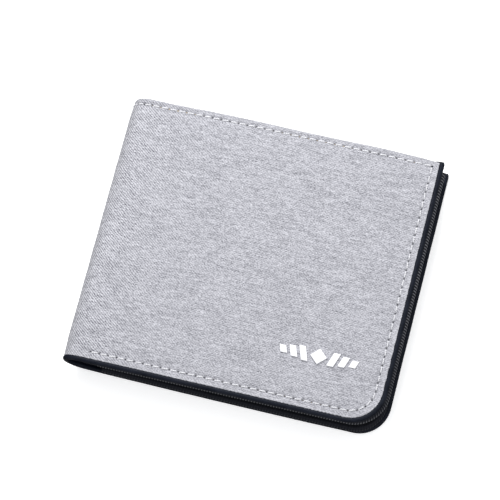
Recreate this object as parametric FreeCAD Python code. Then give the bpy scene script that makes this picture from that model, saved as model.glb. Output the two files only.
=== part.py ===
"""Bifold wallet, closed, lying on its rear cover. Millimetres, +Z up.

Origin: centre of the closed wallet's bottom face.
+X runs from the rounded spine to the opening edge, +Y to the edge where the banknotes go in.

A fabric shell (canvas, board, lining, leather edge binding) wraps both wings and the spine.
Inside it, a partition closes off the banknote compartment, and each wing carries a panel of pockets.
Every layer is given by its depth below the outer face, so one set of functions builds both wings
and the three strips that the spine is cut into. The strips meet at four fold lines.
"""

import FreeCAD, Part
import math
import os

Vector = FreeCAD.Vector
SIDES = ("rear", "front")

# Overall size, closed.
CLOSED_WIDTH = 116.5
CLOSED_HEIGHT = 98.5
CLOSED_THICKNESS = 16.0
FRONT_SHORTFALL = 1.0  # the front wing's lip ends this far short of the rear one
CORNER_R = {"rear": 11.2, "front": 12.6}  # lower corner at the opening edge

# Shell.
GAP = 0.02  # clearance between neighbouring layers
CANVAS_T = 0.7
CANVAS_TOP_R = 1.2
HEM_DEPTHS = (1.65, 2.1)
HEM_WIDTH = 9.0
LIP_WIDTH = 1.6  # leather edge showing beyond the canvas
LIP_DEPTHS = (0.1, 2.1)
LIP_ROUND = 0.75
TUCK_WIDTH = 3.0  # binding tucked under the canvas
TUCK_DEPTHS = (0.75, 2.1)
BOARD_DEPTHS = (0.75, 1.35)
LINING_DEPTHS = (1.4, 1.6)
SEAM_INSET = 2.5  # from the canvas's edge
SEAM_START = 1.0  # the bottom seam starts this far past the spine's curve
THREAD_WIDTH = 0.5
THREAD_DEPTHS = (0.05, 0.28)
GROOVE_WIDTH = 0.8
GROOVE_DEPTHS = (0.0, 0.3)

# Inner panels.
PANEL_START = 6.0  # from the spine's centre line to the pockets
PANEL_DROP = 3.0  # the panels stop this far below the top edge
RIM_WIDTH = 1.9
RIM_DEPTHS = (2.15, 5.2)
RIM_ROUND = 0.6
RIM_PROUD = {"rear": -1.0, "front": 0.9}  # how far the inner rim stands past the lip
PARTITION_DEPTHS = (2.9, 3.1)
BASE_DEPTHS = (3.15, 3.55)

# Pockets for ID-1 cards, 85.6 by 54. Each is 49 deep, so a card stands 5 out of it.
POCKET_TOPS = {"top": 33.0, "middle": 19.0, "bottom": 5.0}
POCKET_DEPTH = 49.0
POCKET_T = 0.3
CARD_SPACE = 0.8
WELT_WIDTH = 3.0
FILM_T = 0.15
WINDOW_SIZE = (82.0, 46.0)
WINDOW_RISE = 8.0  # window's lower edge above the rim
WINDOW_R = 4.0

# Badge on the front cover: a lozenge between two wings of leaning bars, lower towards the tips.
BADGE_CENTRE = (31.0, -28.5)
BADGE_T = 0.4
LOZENGE = (6.0, 5.6)
BAR_HEIGHTS = (5.0, 3.8, 2.6)
BAR_WIDTH = 2.4
BAR_LEAN = 0.35  # sideways for each millimetre of height
BAR_GAP = 1.2

# Spine, folded round its centre line and cut into strips that turn about fold lines. The lines lie
# just outside the canvas, at a radius of SPINE_R * a / sin(a) for strips that span an angle of 2a,
# so that the shell's outer face is as long when it is flat as it is round the curve.
SPINE_R = CLOSED_THICKNESS / 2
STRIPS = 3
FOLD_STEP = 180.0 / (STRIPS + 1)
FOLD_ANGLES = [FOLD_STEP * (k + 0.5) for k in range(STRIPS + 1)]
STRIP_CLEARANCE = 0.3  # degrees left free on each side of a fold line

SPINE_X = SPINE_R - CLOSED_WIDTH / 2
BOTTOM = -CLOSED_HEIGHT / 2
TOP = CLOSED_HEIGHT / 2
CANVAS_BOTTOM = BOTTOM + LIP_WIDTH
FILLING_INSET = LIP_WIDTH + TUCK_WIDTH + GAP  # board and lining, from the lip's edge
FILLING_TOP = TOP - CANVAS_T - GAP
SEAM_Y = TOP - SEAM_INSET
PANEL_X = SPINE_X + PANEL_START
PANEL_TOP = TOP - PANEL_DROP
PANEL_INSET = RIM_WIDTH + GAP
LIP_EDGE = {"rear": CLOSED_WIDTH / 2, "front": CLOSED_WIDTH / 2 - FRONT_SHORTFALL}
PANEL_EDGE = {side: LIP_EDGE[side] + RIM_PROUD[side] for side in LIP_EDGE}


def levels(side, depths):
    """Lowest and highest z of a layer of a wing."""
    if side == "rear":
        return depths
    return CLOSED_THICKNESS - depths[1], CLOSED_THICKNESS - depths[0]


def box(side, depths, x_range, y_range):
    low, high = levels(side, depths)
    size = (x_range[1] - x_range[0], y_range[1] - y_range[0], high - low)
    return Part.makeBox(*size, Vector(x_range[0], y_range[0], low))


def slab(face, side, depths):
    """A flat outline at z 0, raised to a layer of a wing."""
    low, high = levels(side, depths)
    solid = face.extrude(Vector(0, 0, high - low))
    solid.translate(Vector(0, 0, low))
    return solid


def fuse(first, *others):
    return first.multiFuse(list(others)).removeSplitter()


def outline(x_range, y_range, low_r, high_r):
    """Rectangle whose two corners at the +X end are rounded by low_r and high_r."""
    x0, x1 = x_range
    y0, y1 = y_range
    bite = 1 - math.sqrt(0.5)
    low_middle = Vector(x1 - low_r * bite, y0 + low_r * bite, 0)
    high_middle = Vector(x1 - high_r * bite, y1 - high_r * bite, 0)
    start = Vector(x0, y0, 0)
    low_start = Vector(x1 - low_r, y0, 0)
    low_end = Vector(x1, y0 + low_r, 0)
    high_start = Vector(x1, y1 - high_r, 0)
    high_end = Vector(x1 - high_r, y1, 0)
    end = Vector(x0, y1, 0)
    edges = [
        Part.makeLine(start, low_start),
        Part.Arc(low_start, low_middle, low_end).toShape(),
        Part.makeLine(low_end, high_start),
        Part.Arc(high_start, high_middle, high_end).toShape(),
        Part.makeLine(high_end, end),
        Part.makeLine(end, start),
    ]
    return Part.Face(Part.Wire(edges))


def plate(side, depths, x0, top, inset, edge):
    """A layer of a wing, from x0 to inset short of the wing's edge."""
    x_range = (x0, edge[side] - inset)
    face = outline(x_range, (BOTTOM + inset, top), CORNER_R[side] - inset, CANVAS_TOP_R)
    return slab(face, side, depths)


def shell_plate(side, depths, top, inset):
    return plate(side, depths, SPINE_X, top, inset, LIP_EDGE)


def panel_plate(side, depths, top, x0=PANEL_X):
    return plate(side, depths, x0, top, PANEL_INSET, PANEL_EDGE)


def edge_run(side, depths, insets, x0, top, edge=LIP_EDGE):
    """A bar along a wing's bottom edge, round its corner and up its opening edge."""
    low, high = levels(side, depths)
    near, far = insets
    corner_r = CORNER_R[side]
    centre = Vector(edge[side] - corner_r, BOTTOM + corner_r, low)
    bottom_run = box(side, depths, (x0, centre.x), (BOTTOM + near, BOTTOM + far))
    side_run = box(side, depths, (edge[side] - far, edge[side] - near), (centre.y, top))
    corner = Part.makeCylinder(corner_r - near, high - low, centre, Vector(0, 0, 1), 90)
    hollow = Part.makeCylinder(corner_r - far, high - low, centre)
    corner.rotate(centre, Vector(0, 0, 1), -90)
    return fuse(bottom_run, corner.cut(hollow), side_run)


def round_outer_edges(bar, radius, edge_x, corner_r):
    """Rounds the long edges on the outer side of a bar made by edge_run."""
    middle_z = bar.BoundBox.Center.z
    wanted = []
    for edge in bar.Edges:
        point = edge.valueAt((edge.FirstParameter + edge.LastParameter) / 2)
        from_side = edge_x - point.x
        from_bottom = point.y - BOTTOM
        if from_side < corner_r and from_bottom < corner_r:
            across, along = corner_r - from_side, corner_r - from_bottom
            inset = corner_r - math.hypot(across, along)
        else:
            inset = min(from_side, from_bottom)
        flat = abs(edge.Vertexes[0].Point.z - edge.Vertexes[-1].Point.z) < GAP
        if flat and abs(point.z - middle_z) > radius and abs(inset) < GAP:
            wanted.append(edge)
    return bar.makeFillet(radius, wanted)


def arc(angles, depths, y_range):
    """A layer bent round the spine between two angles, measured from straight down."""

    def at(radius, angle):
        x = SPINE_X - radius * math.sin(math.radians(angle))
        return Vector(x, y_range[0], SPINE_R - radius * math.cos(math.radians(angle)))

    outer, inner = SPINE_R - depths[0], SPINE_R - depths[1]
    first, last = angles
    middle = (first + last) / 2
    edges = [
        Part.Arc(at(outer, first), at(outer, middle), at(outer, last)).toShape(),
        Part.makeLine(at(outer, last), at(inner, last)),
        Part.Arc(at(inner, last), at(inner, middle), at(inner, first)).toShape(),
        Part.makeLine(at(inner, first), at(outer, first)),
    ]
    return Part.Face(Part.Wire(edges)).extrude(Vector(0, y_range[1] - y_range[0], 0))


def wing_angles(side):
    """The part of the curve that belongs to a wing, up to its fold line."""
    if side == "rear":
        return 0, FOLD_ANGLES[0] - STRIP_CLEARANCE
    return FOLD_ANGLES[-1] + STRIP_CLEARANCE, 180


def strip_angles(number):
    """The part of the curve that belongs to a spine strip, counted from 0 at the rear."""
    return FOLD_ANGLES[number] + STRIP_CLEARANCE, FOLD_ANGLES[number + 1] - STRIP_CLEARANCE


# Curved stretch of each shell layer: every function takes the angles that it spans.


def curved_canvas(angles):
    """Face, turned top edge and hem, with the groove that the seam pulls into them."""
    face = arc(angles, (0.0, CANVAS_T), (CANVAS_BOTTOM, TOP))
    turn = arc(angles, (0.0, HEM_DEPTHS[1]), (TOP - CANVAS_T, TOP))
    hem = arc(angles, HEM_DEPTHS, (TOP - HEM_WIDTH, TOP))
    groove = (SEAM_Y - GROOVE_WIDTH / 2, SEAM_Y + GROOVE_WIDTH / 2)
    return fuse(face, turn, hem).cut(arc(angles, GROOVE_DEPTHS, groove))


def curved_lining(angles):
    return arc(angles, LINING_DEPTHS, (BOTTOM + FILLING_INSET, FILLING_TOP))


def curved_binding(angles):
    lip = arc(angles, LIP_DEPTHS, (BOTTOM, CANVAS_BOTTOM - GAP))
    tuck = arc(angles, TUCK_DEPTHS, (CANVAS_BOTTOM - GAP, CANVAS_BOTTOM + TUCK_WIDTH))
    return fuse(lip, tuck)


def curved_partition(angles):
    return arc(angles, PARTITION_DEPTHS, (BOTTOM + PANEL_INSET, PANEL_TOP))


def curved_thread(angles):
    return arc(angles, THREAD_DEPTHS, (SEAM_Y - THREAD_WIDTH / 2, SEAM_Y + THREAD_WIDTH / 2))


# Flat stretch of each shell layer, with the curve's first stretch joined on.


def seam(side, depths, width):
    """Bottom, corner, opening edge and top of a wing's seam."""
    insets = (LIP_WIDTH + SEAM_INSET - width / 2, LIP_WIDTH + SEAM_INSET + width / 2)
    y_range = (SEAM_Y - width / 2, SEAM_Y + width / 2)
    around = edge_run(side, depths, insets, SPINE_X + SEAM_START, y_range[1])
    along_top = box(side, depths, (SPINE_X, LIP_EDGE[side] - insets[0]), y_range)
    return fuse(around, along_top)


def cover_canvas(side):
    """Canvas face, turned over at the top edge and hemmed inside."""
    x_range = (SPINE_X, LIP_EDGE[side] - FILLING_INSET)
    face = shell_plate(side, (0.0, CANVAS_T), TOP, LIP_WIDTH)
    turn = box(side, (0.0, HEM_DEPTHS[1]), x_range, (TOP - CANVAS_T, TOP))
    hem = box(side, HEM_DEPTHS, x_range, (TOP - HEM_WIDTH, TOP))
    flat = fuse(face, turn, hem).cut(seam(side, GROOVE_DEPTHS, GROOVE_WIDTH))
    return fuse(flat, curved_canvas(wing_angles(side)))


def cover_thread(side):
    return fuse(seam(side, THREAD_DEPTHS, THREAD_WIDTH), curved_thread(wing_angles(side)))


def cover_board(side):
    return shell_plate(side, BOARD_DEPTHS, FILLING_TOP, FILLING_INSET)


def cover_lining(side):
    flat = shell_plate(side, LINING_DEPTHS, FILLING_TOP, FILLING_INSET)
    return fuse(flat, curved_lining(wing_angles(side)))


def edge_binding(side):
    """Leather binding: a rounded lip beyond the canvas, and a strip tucked under it."""
    lip_end = LIP_WIDTH - GAP
    lip = edge_run(side, LIP_DEPTHS, (0.0, lip_end), SPINE_X, TOP)
    lip = round_outer_edges(lip, LIP_ROUND, LIP_EDGE[side], CORNER_R[side])
    tuck_insets = (lip_end, LIP_WIDTH + TUCK_WIDTH)
    tuck = edge_run(side, TUCK_DEPTHS, tuck_insets, SPINE_X, TOP)
    return fuse(lip, tuck, curved_binding(wing_angles(side)))


def partition(side):
    """Inner wall of the banknote compartment, which runs on over the spine."""
    flat = panel_plate(side, PARTITION_DEPTHS, PANEL_TOP, SPINE_X)
    return fuse(flat, curved_partition(wing_angles(side)))


def inner_binding(side):
    """Ribbed binding that closes the bottom and opening edges of the inner panel."""
    bar = edge_run(side, RIM_DEPTHS, (0.0, RIM_WIDTH), PANEL_X, PANEL_TOP, PANEL_EDGE)
    return round_outer_edges(bar, RIM_ROUND, PANEL_EDGE[side], CORNER_R[side])


# Pockets.


def pocket_layers(count, sheet_t):
    """(space, sheet) depths of a stack of pockets, from the base outwards."""
    layers = []
    depth = BASE_DEPTHS[1]
    for _ in range(count):
        space = (depth, depth + CARD_SPACE)
        sheet = (space[1], space[1] + sheet_t)
        layers.append((space, sheet))
        depth = sheet[1]
    return layers


def welt(side, space, top):
    """Folded edge that joins a pocket to the sheet below it: two sides, a bottom and a card stop."""
    depths = (space[0] + GAP, space[1] - GAP)
    inboard_x = (PANEL_X, PANEL_X + WELT_WIDTH)
    insets = (PANEL_INSET, PANEL_INSET + WELT_WIDTH)
    around = edge_run(side, depths, insets, PANEL_X, top, PANEL_EDGE)
    inboard = box(side, depths, inboard_x, (BOTTOM + PANEL_INSET, top))
    stop_y = (top - POCKET_DEPTH - WELT_WIDTH, top - POCKET_DEPTH)
    if stop_y[0] < BOTTOM + insets[1]:
        return fuse(around, inboard)
    stop = box(side, depths, (PANEL_X, PANEL_EDGE[side] - insets[0]), stop_y)
    return fuse(around, inboard, stop)


def window_outline(side):
    """Rounded rectangle centred across the pocket."""
    width, height = WINDOW_SIZE
    centre_x = (PANEL_X + PANEL_EDGE[side] - PANEL_INSET) / 2
    low_y = BOTTOM + PANEL_INSET + WINDOW_RISE
    right = outline((centre_x, centre_x + width / 2), (low_y, low_y + height), WINDOW_R, WINDOW_R)
    left = right.mirror(Vector(centre_x, 0, 0), Vector(1, 0, 0))
    return right.fuse(left).removeSplitter().Faces[0]


def window_frame(side, depths, top):
    sheet = panel_plate(side, depths, top)
    return sheet.cut(slab(window_outline(side), side, depths))


# Badge.


def badge_piece(points):
    """One flat piece of the badge, from points about its centre."""
    corners = [Vector(x + BADGE_CENTRE[0], y + BADGE_CENTRE[1], CLOSED_THICKNESS) for x, y in points]
    face = Part.Face(Part.makePolygon(corners + corners[:1]))
    return face.extrude(Vector(0, 0, BADGE_T))


def badge():
    half_wide, half_high = LOZENGE[0] / 2, LOZENGE[1] / 2
    pieces = [[(-half_wide, 0), (0, -half_high), (half_wide, 0), (0, half_high)]]
    x0 = half_wide + BAR_GAP
    for height in BAR_HEIGHTS:
        x1 = x0 + BAR_WIDTH
        lean = BAR_LEAN * height / 2
        bar = [(x0 - lean, -height / 2), (x1 - lean, -height / 2)]
        bar += [(x1 + lean, height / 2), (x0 + lean, height / 2)]
        pieces.append(bar)
        pieces.append([(-x, y) for x, y in bar])
        x0 = x1 + BAR_GAP
    return Part.makeCompound([badge_piece(points) for points in pieces])


def save(name, shape):
    """Writes one piece, after making sure that each of its solids is sound."""
    for solid in shape.Solids:
        if not solid.isValid() or solid.Volume <= 0:
            raise ValueError(name + " is not a sound solid")
    whole = shape.Solids[0] if len(shape.Solids) == 1 else Part.makeCompound(shape.Solids)
    whole.exportStep(os.path.join("parts", name + ".step"))


def build_shell():
    for side in SIDES:
        save(side + "_cover_canvas", cover_canvas(side))
        save(side + "_cover_board", cover_board(side))
        save(side + "_cover_lining", cover_lining(side))
        save(side + "_edge_binding", edge_binding(side))
        save(side + "_cover_thread", cover_thread(side))
        save(side + "_partition", partition(side))
        save(side + "_inner_binding", inner_binding(side))
        save(side + "_panel_base", panel_plate(side, BASE_DEPTHS, PANEL_TOP))
    for number in range(STRIPS):
        angles = strip_angles(number)
        tail = "_" + str(number + 1)
        save("spine_canvas" + tail, curved_canvas(angles))
        save("spine_lining" + tail, curved_lining(angles))
        save("spine_binding" + tail, curved_binding(angles))
        save("spine_partition" + tail, curved_partition(angles))
        save("spine_thread" + tail, curved_thread(angles))


def build_front_pockets():
    """Three stepped card pockets."""
    welts = []
    layers = pocket_layers(len(POCKET_TOPS), POCKET_T)
    for (name, top), (space, sheet) in zip(POCKET_TOPS.items(), layers):
        save("front_card_pocket_" + name, panel_plate("front", sheet, top))
        welts.append(welt("front", space, top))
    save("front_pocket_welts", Part.makeCompound(welts))


def build_rear_pockets():
    """A card pocket, and on it a pocket with a clear window."""
    (card_space, card_sheet), (window_space, window_sheet) = pocket_layers(2, POCKET_T)
    card_top, window_top = POCKET_TOPS["top"], POCKET_TOPS["middle"]
    film = (window_sheet[0], window_sheet[0] + FILM_T)
    frame = (film[1] + GAP, film[1] + GAP + POCKET_T)
    save("rear_card_pocket", panel_plate("rear", card_sheet, card_top))
    save("rear_window_film", panel_plate("rear", film, window_top))
    save("rear_window_frame", window_frame("rear", frame, window_top))
    welts = [welt("rear", card_space, card_top), welt("rear", window_space, window_top)]
    save("rear_pocket_welts", Part.makeCompound(welts))


os.makedirs("parts", exist_ok=True)
build_shell()
build_front_pockets()
build_rear_pockets()
save("front_badge", badge())
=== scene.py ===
"""Looks of the bifold wallet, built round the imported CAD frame.

Soft pieces are sheets and rolls laid out flat and then wrapped round the closed wallet. In the
flat layout, t is the distance from the middle of the spine along the outer face and v is the
height up the cover; the rear half is mirrored. Lengths are millimetres until a mesh is made.
"""

import math
import random
from dataclasses import dataclass

import bmesh
import bpy
import numpy as np
from mathutils import Matrix, Vector
from mathutils.geometry import delaunay_2d_cdt


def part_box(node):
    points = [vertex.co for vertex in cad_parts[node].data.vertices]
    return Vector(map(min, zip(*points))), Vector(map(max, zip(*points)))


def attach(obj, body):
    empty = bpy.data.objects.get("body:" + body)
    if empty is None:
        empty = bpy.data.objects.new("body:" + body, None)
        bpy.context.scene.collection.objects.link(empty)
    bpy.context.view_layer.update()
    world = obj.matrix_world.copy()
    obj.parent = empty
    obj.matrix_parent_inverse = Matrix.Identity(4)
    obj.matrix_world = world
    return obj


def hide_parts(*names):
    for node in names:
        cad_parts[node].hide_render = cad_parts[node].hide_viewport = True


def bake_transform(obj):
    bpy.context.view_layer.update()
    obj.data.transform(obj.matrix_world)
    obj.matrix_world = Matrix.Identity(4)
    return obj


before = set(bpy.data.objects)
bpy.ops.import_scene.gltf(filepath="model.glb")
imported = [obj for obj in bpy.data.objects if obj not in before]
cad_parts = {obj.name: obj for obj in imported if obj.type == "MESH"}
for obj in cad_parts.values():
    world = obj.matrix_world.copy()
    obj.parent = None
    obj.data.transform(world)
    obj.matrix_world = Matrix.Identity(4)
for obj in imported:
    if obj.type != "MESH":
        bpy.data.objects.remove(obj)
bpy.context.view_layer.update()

MM = 0.001
SIDES = ("rear", "front")
SIGN = {"rear": -1.0, "front": 1.0}


def low(node, axis):
    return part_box(node)[0]["xyz".index(axis)] / MM


def high(node, axis):
    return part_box(node)[1]["xyz".index(axis)] / MM


# Sizes that the frame gives.
THICK = high("front_cover_canvas", "z")
SPINE_R = THICK / 2
SPINE_X = low("rear_cover_board", "x")
HALF_SPINE = math.pi * SPINE_R / 2
CUT = HALF_SPINE / 2
BOTTOM = low("rear_edge_binding", "y")
TOP = high("rear_cover_canvas", "y")
CANVAS_BOTTOM = low("rear_cover_canvas", "y")
LIP_WIDTH = CANVAS_BOTTOM - BOTTOM
PANEL_TOP = high("rear_panel_base", "y")


def run_to(x):
    """Flat distance t of a place on a wing."""
    return HALF_SPINE + x - SPINE_X


LIP_T = {side: run_to(high(side + "_edge_binding", "x")) for side in SIDES}
CANVAS_T = {side: run_to(high(side + "_cover_canvas", "x")) for side in SIDES}
RIM_T = {side: run_to(high(side + "_inner_binding", "x")) for side in SIDES}
PANEL_T0 = run_to(low("rear_panel_base", "x"))
PANEL_INSET = low("rear_panel_base", "y") - BOTTOM

# Sizes of the looks alone.
CORNER_R = {"rear": 11.2, "front": 12.6}
TOP_BOW = 0.45  # how far the top edge bows upwards
REAR_BOW = 0.35  # how far the rear half's bottom edge bows downwards
FRONT_LIFT = 0.8  # how much higher the front half's bottom edge lies at the opening corner
CANVAS_THICK = 0.6
FOLD_R = 1.05
HEM = 7.0
SEAM_INSET = 2.5
SEAM_START = 9.0  # from the cut line
SEAM_RUN_IN = 3.0  # groove before the first stitch
STITCH_PITCH = 3.2
STITCH_LENGTH = 2.4
THREAD_R = 0.15
STITCH_LEAN = 0.07
PLY_TWIST = 1.5  # length of one turn of the two plies
NEEDLE_HOLE_R = 0.46
NEEDLE_HOLE_DEPTH = 0.45
NEEDLE_HOLE_REACH = 1.5
FAR = 9.0  # a distance at which a seam no longer shows
SEAM_V = TOP - SEAM_INSET
FOLD_START = TOP - FOLD_R
FOLD_END = FOLD_START + math.pi * FOLD_R

# Repeats in the materials.
RIB_PITCH = 1.0
TWILL_PITCH = 0.75
TWILL_LEAN = (0.602, 0.799)  # a rib's way across and up, at 37 degrees
YARN = 0.34
FLOAT = 0.42  # run of a weft yarn between two warp yarns
SLUB = 3.4  # run over which a yarn keeps its shade
RIPSTOP_THREAD = 0.45
RIPSTOP_GRID = 4.5


# Wrapping.


def settle(s, v):
    """How far up or down a place has shifted, as used covers are never quite straight."""
    along = np.clip(np.abs(s) / LIP_T["rear"], 0, 1)
    bow = np.sin(math.pi * along)
    at_bottom = np.where(s < 0, -REAR_BOW * bow, FRONT_LIFT * along)
    return TOP_BOW * bow * ease(v / TOP) + at_bottom * ease(v / BOTTOM)


def wrap(s, v, depth):
    """Place in the closed wallet. s is t with the side's sign, depth is below the outer face."""
    angle = np.clip(math.pi / 2 + s / SPINE_R, 0, math.pi)
    beyond = np.maximum(np.abs(s) - HALF_SPINE, 0)
    x = SPINE_X + beyond - (SPINE_R - depth) * np.sin(angle)
    z = SPINE_R - (SPINE_R - depth) * np.cos(angle)
    return np.stack(np.broadcast_arrays(x, v + settle(s, v), z), -1)


def plain_point(s, v, h):
    """A layer whose height h is measured outwards from the outer face."""
    return wrap(s, v, -h)


def canvas_point(s, v, h):
    """The canvas, which turns over the top edge and runs down inside as a hem."""
    turn = np.clip((v - FOLD_START) / FOLD_R, 0, math.pi)
    past = np.maximum(v - FOLD_END, 0)
    y = np.minimum(v, FOLD_START) + (FOLD_R + h) * np.sin(turn) - past
    return wrap(s, y, FOLD_R - (FOLD_R + h) * np.cos(turn))


def ease(x):
    """A smooth step from 0 to 1."""
    x = np.clip(x, 0, 1)
    return x * x * (3 - 2 * x)


def bump_at(distance, width):
    """A soft ridge or groove of height 1."""
    return np.exp(-((distance / width) ** 2))


def ripple(s, v, length, seed):
    """Smooth unevenness between about -1 and 1, of a given wavelength."""
    draw = random.Random(seed)
    total = 0.0
    count = 7
    for _ in range(count):
        angle = draw.uniform(0, 2 * math.pi)
        phase = draw.uniform(0, 2 * math.pi)
        rate = 2 * math.pi / (length * draw.uniform(0.7, 1.5))
        total = total + np.sin((s * math.cos(angle) + v * math.sin(angle)) * rate + phase)
    return total / math.sqrt(count * 2)


# Flat nets.


class Net:
    """A flat mesh in t and v, welded as patches are added."""

    def __init__(self):
        self.points = []
        self.faces = []
        self.index = {}

    def vertex(self, t, v):
        key = (round(t, 3), round(v, 3))
        if key not in self.index:
            self.index[key] = len(self.points)
            self.points.append((t, v))
        return self.index[key]

    def rows(self, rows):
        """Quads between rows of places; every row has as many places."""
        ids = [[self.vertex(*place) for place in row] for row in rows]
        for below, above in zip(ids, ids[1:]):
            for k in range(len(below) - 1):
                self.faces.append((below[k], below[k + 1], above[k + 1], above[k]))

    def grid(self, ts, vs):
        self.rows([[(t, v) for t in ts] for v in vs])

    def fill(self, loop, inside, holes=()):
        """Triangles inside a loop of places, through the inside places, but not over the holes."""
        places, edges = [], []
        for ring in (loop, *holes):
            first = len(places)
            places += ring
            edges += [(first + k, first + (k + 1) % len(ring)) for k in range(len(ring))]
        places += inside
        border = [list(range(len(loop)))]
        corners = [Vector(place) for place in places]
        flat, _, faces, origins, _, _ = delaunay_2d_cdt(corners, edges, border, 1, 1e-5)
        ids = [self.vertex(*places[origin[0]]) for origin in origins]
        for face in faces:
            centre = sum((flat[k] for k in face), Vector((0, 0))) / len(face)
            if not any(within(hole, centre) for hole in holes):
                self.faces.append(tuple(ids[k] for k in face))


def within(loop, place):
    """Whether a place lies inside an anticlockwise convex loop."""
    for (t0, v0), (t1, v1) in zip(loop, list(loop[1:]) + [loop[0]]):
        if (t1 - t0) * (place[1] - v0) - (v1 - v0) * (place[0] - t0) < 0:
            return False
    return True


def steps(start, end, pace):
    count = max(1, round(abs(end - start) / pace))
    return [start + (end - start) * k / count for k in range(count + 1)]


@dataclass
class Outline:
    """A sheet of a wing: a bottom edge, a rounded corner and an opening edge, cut off at the top."""

    start: float
    side_t: float
    bottom: float
    corner_r: float
    top: float

    def inset(self, t, v, top_too=True):
        """Distance to the nearest of those edges."""
        across = self.side_t - t
        along = v - self.bottom
        r = self.corner_r
        corner = r - np.hypot(np.maximum(r - across, 0), np.maximum(r - along, 0))
        nearest = np.where((across < r) & (along < r), corner, np.minimum(across, along))
        return np.minimum(nearest, self.top - v) if top_too else nearest

    def path(self, inset, pace, start, top):
        """(t, v, inward t, inward v) along the bottom, round the corner and up to top."""
        r = self.corner_r
        centre = (self.side_t - r, self.bottom + r)
        stops = [(t, self.bottom + inset, 0.0, 1.0) for t in steps(start, centre[0], pace)]
        count = max(4, round(r * math.pi / 2 / pace))
        for k in range(1, count):
            angle = math.pi / 2 * k / count
            away = (math.sin(angle), -math.cos(angle))
            t = centre[0] + (r - inset) * away[0]
            v = centre[1] + (r - inset) * away[1]
            stops.append((t, v, -away[0], -away[1]))
        up = [(self.side_t - inset, v, -1.0, 0.0) for v in steps(centre[1], top, pace)]
        return stops + up


def wing_net(outline, rings, pace, cell, top_rows, columns=(), holes=()):
    """Net of a wing's sheet: bands along the free edges, rows at the top, triangles between.

    columns are places of t before the outline's start, for a curved stretch or a free edge.
    """
    net = Net()
    split = top_rows[0]
    loops = []
    for inset in rings:
        loops.append([stop[:2] for stop in outline.path(inset, pace, outline.start, split)])
    net.rows(loops)
    inner = loops[-1]
    margin = cell * 0.6
    side_ts = [outline.side_t - inset for inset in reversed(rings)]
    across = steps(outline.start, side_ts[0], pace)
    start_vs = steps(inner[0][1], split, cell)
    loop = inner + [(t, split) for t in reversed(across[:-1])]
    loop += [(outline.start, v) for v in reversed(start_vs[1:-1])]
    inside = []
    for row, v in enumerate(steps(outline.bottom, split, cell)):
        shift = cell / 2 * (row % 2)
        for t in steps(outline.start + shift, outline.side_t, cell):
            clear = outline.inset(t, v) - rings[-1] > margin
            clear = clear and t - outline.start > margin and split - v > margin
            near_hole = any(within(grown(hole, cell * 0.5), (t, v)) for hole in holes)
            if clear and not near_hole:
                inside.append((t, v))
    net.fill(loop, inside, holes)
    net.grid(list(columns)[:-1] + across + side_ts[1:], top_rows)
    if columns:
        low_vs = [outline.bottom + inset for inset in rings]
        net.grid(columns, low_vs + start_vs[1:])
    return net


def grown(loop, by):
    """A convex loop pushed outwards from its centre."""
    centre = (sum(p[0] for p in loop) / len(loop), sum(p[1] for p in loop) / len(loop))
    bigger = []
    for t, v in loop:
        away = Vector((t - centre[0], v - centre[1]))
        away *= 1 + by / away.length
        bigger.append((centre[0] + away[0], centre[1] + away[1]))
    return bigger


# Meshes.


def put(name, data):
    """A new object in the scene."""
    made = bpy.data.objects.new(name, data)
    bpy.context.scene.collection.objects.link(made)
    return made


def make_object(name, points, faces, material, flat_faces=(), **attributes):
    """A closed mesh from places in millimetres, with named attributes for its material."""
    mesh = bpy.data.meshes.new(name)
    mesh.from_pydata((np.asarray(points) * MM).tolist(), [], faces)
    smooth = np.ones(len(faces), bool)
    smooth[list(flat_faces)] = False
    mesh.polygons.foreach_set("use_smooth", smooth)
    for key, values in attributes.items():
        values = np.asarray(values, np.float32)
        kind, field = ("FLOAT_VECTOR", "vector") if values.ndim == 2 else ("FLOAT", "value")
        layer = mesh.attributes.new(key, kind, "POINT")
        layer.data.foreach_set(field, values.ravel())
    shell = bmesh.new()
    shell.from_mesh(mesh)
    bmesh.ops.recalc_face_normals(shell, faces=shell.faces)
    if shell.calc_volume(signed=True) < 0:
        bmesh.ops.reverse_faces(shell, faces=shell.faces)
    for edge in shell.edges:
        edge.smooth = all(face.smooth for face in edge.link_faces)
    shell.to_mesh(mesh)
    shell.free()
    mesh.materials.append(material)
    return put(name, mesh)


def sheet(name, net, side, place, outer, inner, inset, material, pits=()):
    """A sheet with rounded free edges. outer and inner are its faces' heights over the net."""
    flat = np.array(net.points)
    t, v = flat[:, 0], flat[:, 1]
    top, base = outer(t, v), inner(t, v)
    from_edge = np.maximum(inset(t, v), 0)
    roll = np.clip(2 * from_edge / np.maximum(top - base, 1e-6), 0, 1)
    half = (top - base) / 2 * np.sqrt(1 - (1 - roll) ** 2)
    middle = (top + base) / 2
    dip, dark = pitted(t, v, pits)
    s = SIGN[side] * t
    shut = half < 1e-5
    upper = place(s, v, middle + half - dip)
    lower = place(s[~shut], v[~shut], (middle - half)[~shut])
    count = len(flat)
    under = np.arange(count)
    under[~shut] = count + np.arange(len(lower))
    faces = list(net.faces)
    sides = dict.fromkeys(pair for face in net.faces for pair in zip(face, face[1:] + face[:1]))
    faces += [tuple(int(under[k]) for k in reversed(face)) for face in net.faces]
    walls = []
    for a, b in sides:
        if (b, a) not in sides and not (shut[a] and shut[b]):
            wall = [b, a, int(under[a]), int(under[b])]
            walls.append(len(faces))
            faces.append(tuple(dict.fromkeys(wall)))
    lay = np.stack([s, v, from_edge], -1)
    lay = np.concatenate([lay, lay[~shut]])
    dark = np.concatenate([dark, np.zeros(len(lower))])
    points = np.concatenate([upper, lower])
    return make_object(name, points, faces, material, walls, lay=lay, pit=dark)


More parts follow.
